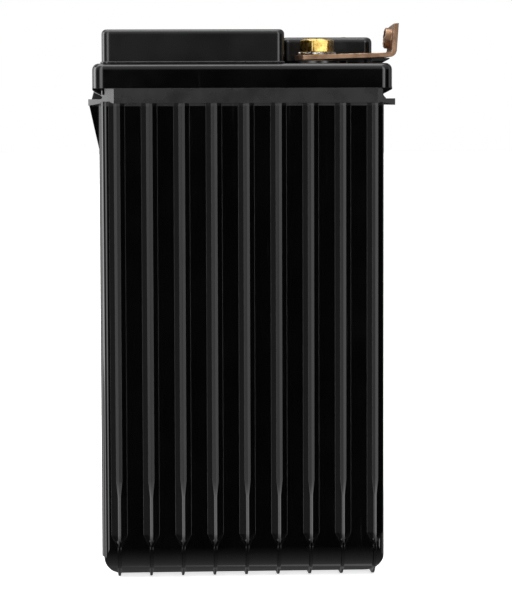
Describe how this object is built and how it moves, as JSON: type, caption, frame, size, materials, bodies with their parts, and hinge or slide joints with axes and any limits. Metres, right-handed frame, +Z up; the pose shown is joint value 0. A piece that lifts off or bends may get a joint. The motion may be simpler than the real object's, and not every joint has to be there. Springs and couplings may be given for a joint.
{
  "type": "motorcycle battery",
  "caption": "Sealed lead-acid motorcycle battery: tall ribbed black case, stepped lid with a raised vent cover, and bent copper terminal brackets held by brass bolts.",
  "frame": {"origin": "centre of the face that the battery stands on, the underside of the floor rails", "axes": "+Z up, +Y along the length from the positive end to the negative end, +X towards the terminals"},
  "size_m": [0.088, 0.175, 0.1582],
  "materials": {
    "case_plastic": "moulded black plastic, semi-gloss",
    "lid_plastic": "moulded black plastic, gloss",
    "cover_plastic": "moulded black plastic, satin",
    "porous_disc": "sintered porous plastic",
    "valve_rubber": "moulded rubber",
    "positive_paste": "cured lead dioxide paste on a lead grid",
    "negative_paste": "spongy lead paste on a lead grid",
    "glass_mat": "white microfibre glass mat",
    "lead": "cast lead alloy, dull",
    "insert_brass": "machined",
    "bolt_brass": "cold-headed brass with worn, darkened patches",
    "bracket_copper": "sheared copper strip, dull and slightly oxidised",
    "washer_steel": "zinc-plated spring steel"
  },
  "bodies": {
    "battery": {"case": "case_plastic", "lid": "lid_plastic", "vent_cover": "cover_plastic", "flame_arrestor_front": "porous_disc", "flame_arrestor_rear": "porous_disc", "valve_cap_1": "valve_rubber", "valve_cap_2": "valve_rubber", "valve_cap_3": "valve_rubber", "valve_cap_4": "valve_rubber", "valve_cap_5": "valve_rubber", "valve_cap_6": "valve_rubber", "cell_1_positive_plates": "positive_paste", "cell_1_negative_plates": "negative_paste", "cell_1_separators": "glass_mat", "cell_1_straps": "lead", "cell_2_positive_plates": "positive_paste", "cell_2_negative_plates": "negative_paste", "cell_2_separators": "glass_mat", "cell_2_straps": "lead", "cell_3_positive_plates": "positive_paste", "cell_3_negative_plates": "negative_paste", "cell_3_separators": "glass_mat", "cell_3_straps": "lead", "cell_4_positive_plates": "positive_paste", "cell_4_negative_plates": "negative_paste", "cell_4_separators": "glass_mat", "cell_4_straps": "lead", "cell_5_positive_plates": "positive_paste", "cell_5_negative_plates": "negative_paste", "cell_5_separators": "glass_mat", "cell_5_straps": "lead", "cell_6_positive_plates": "positive_paste", "cell_6_negative_plates": "negative_paste", "cell_6_separators": "glass_mat", "cell_6_straps": "lead", "intercell_welds": "lead", "positive_post": "lead", "positive_bushing": "lead", "positive_seal": "valve_rubber", "positive_insert": "insert_brass", "negative_post": "lead", "negative_bushing": "lead", "negative_seal": "valve_rubber", "negative_insert": "insert_brass"},
    "positive_bracket_body": {"positive_bracket": "bracket_copper"},
    "positive_washer_body": {"positive_star_washer": "washer_steel"},
    "positive_bolt_body": {"positive_bolt": "bolt_brass"},
    "negative_bracket_body": {"negative_bracket": "bracket_copper"},
    "negative_washer_body": {"negative_star_washer": "washer_steel"},
    "negative_bolt_body": {"negative_bolt": "bolt_brass"}
  },
  "joints": [
    {"name": "positive_bracket_swivel", "type": "hinge", "parent": "battery", "child": "positive_bracket_body", "pos_m": [0.02175, -0.0765, 0.1487], "axis": [0, 0, 1], "range_deg": [-90, 6]},
    {"name": "positive_bolt_lift", "type": "slide", "parent": "battery", "child": "positive_washer_body", "axis": [0, 0, 1], "range_m": [0, 0.007]},
    {"name": "positive_bolt_turn", "type": "hinge", "parent": "positive_washer_body", "child": "positive_bolt_body", "pos_m": [0.02175, -0.0765, 0.1487], "axis": [0, 0, 1], "range_deg": [0, 2520]},
    {"name": "negative_bracket_swivel", "type": "hinge", "parent": "battery", "child": "negative_bracket_body", "pos_m": [0.02175, 0.0765, 0.1487], "axis": [0, 0, 1], "range_deg": [-6, 90]},
    {"name": "negative_bolt_lift", "type": "slide", "parent": "battery", "child": "negative_washer_body", "axis": [0, 0, 1], "range_m": [0, 0.007]},
    {"name": "negative_bolt_turn", "type": "hinge", "parent": "negative_washer_body", "child": "negative_bolt_body", "pos_m": [0.02175, 0.0765, 0.1487], "axis": [0, 0, 1], "range_deg": [0, 2520]}
  ],
  "couplings": [
    {"joint": "positive_bolt_turn", "follows": "positive_bolt_lift", "rad_per_m": 6283.2},
    {"joint": "negative_bolt_turn", "follows": "negative_bolt_lift", "rad_per_m": 6283.2}
  ]
}
